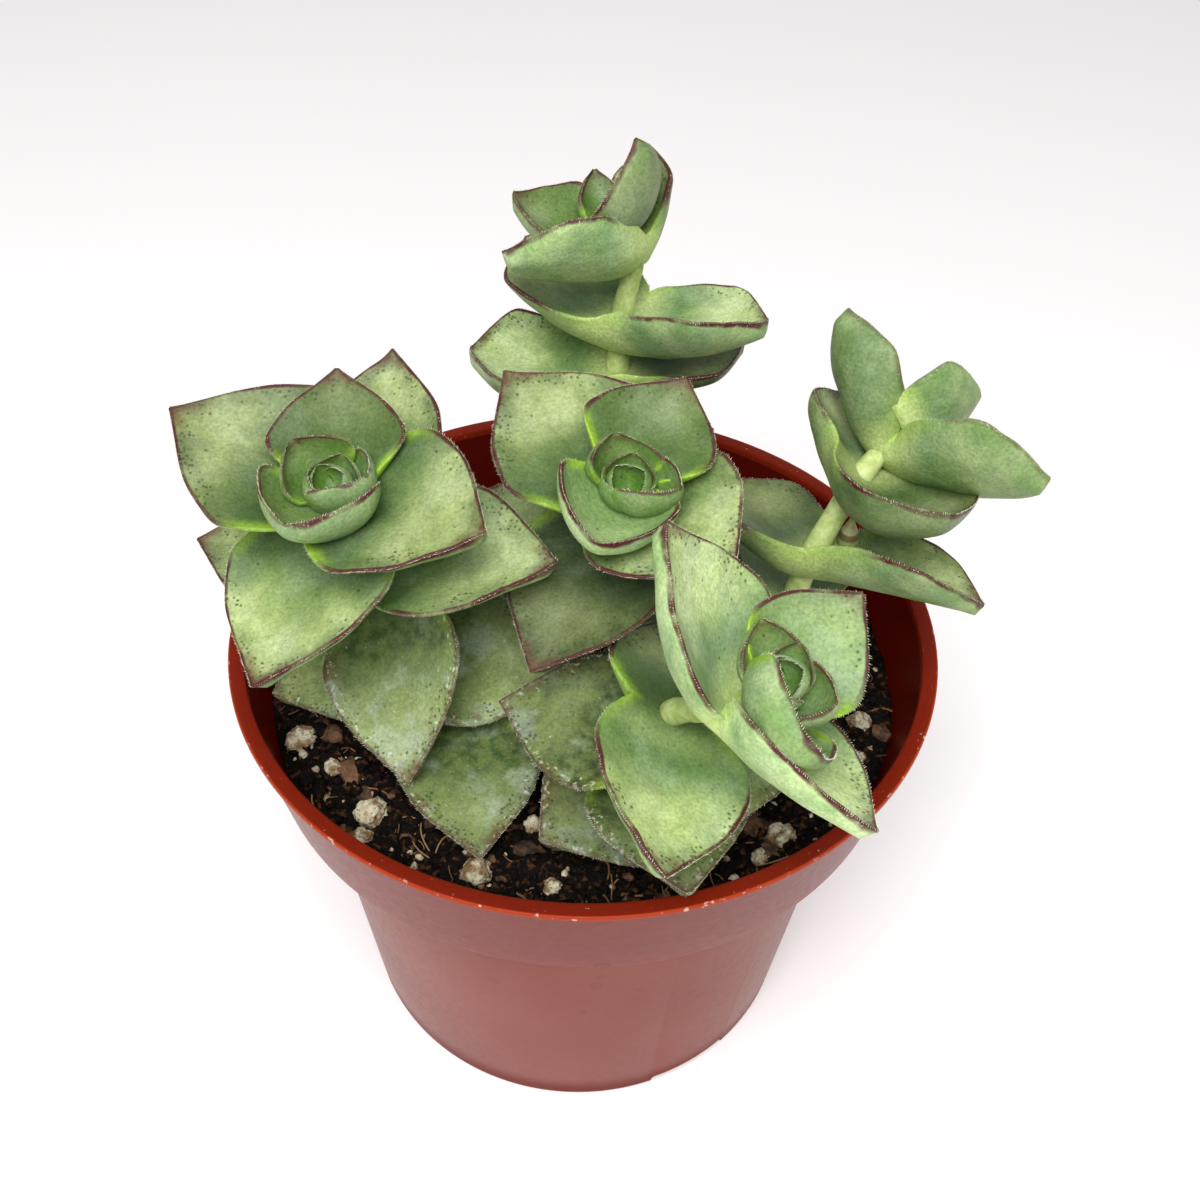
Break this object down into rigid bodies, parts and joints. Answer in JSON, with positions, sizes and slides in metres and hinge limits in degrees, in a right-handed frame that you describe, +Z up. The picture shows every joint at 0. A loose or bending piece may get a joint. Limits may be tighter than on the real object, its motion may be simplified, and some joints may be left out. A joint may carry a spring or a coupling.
{
  "type": "potted succulent",
  "caption": "Potted string of buttons succulent: stacked pairs of thick triangular leaves on slim stems, in a small round nursery pot filled with peat and perlite.",
  "frame": {"origin": "centre of the flat foot that the pot stands on", "axes": "+Z up along the pot's axis, -Y towards the side that the rosettes lean to, +X to the right seen from that side"},
  "size_m": [0.0723, 0.0681, 0.0866],
  "materials": {
    "pot_plastic": "red-brown thin plastic with a soft sheen",
    "soil": "near-black moist peat with brown fibres and white perlite",
    "leaf": "grey-green waxy leaf with a purple-red margin and a pale bloom"
  },
  "bodies": {
    "root": {"pot": "pot_plastic", "soil": "soil", "left_leafy_stem": "leaf", "centre_leafy_stem": "leaf", "front_leafy_stem": "leaf", "back_leafy_stem": "leaf", "right_leafy_stem": "leaf", "low_leafy_stem": "leaf"}
  },
  "joints": []
}
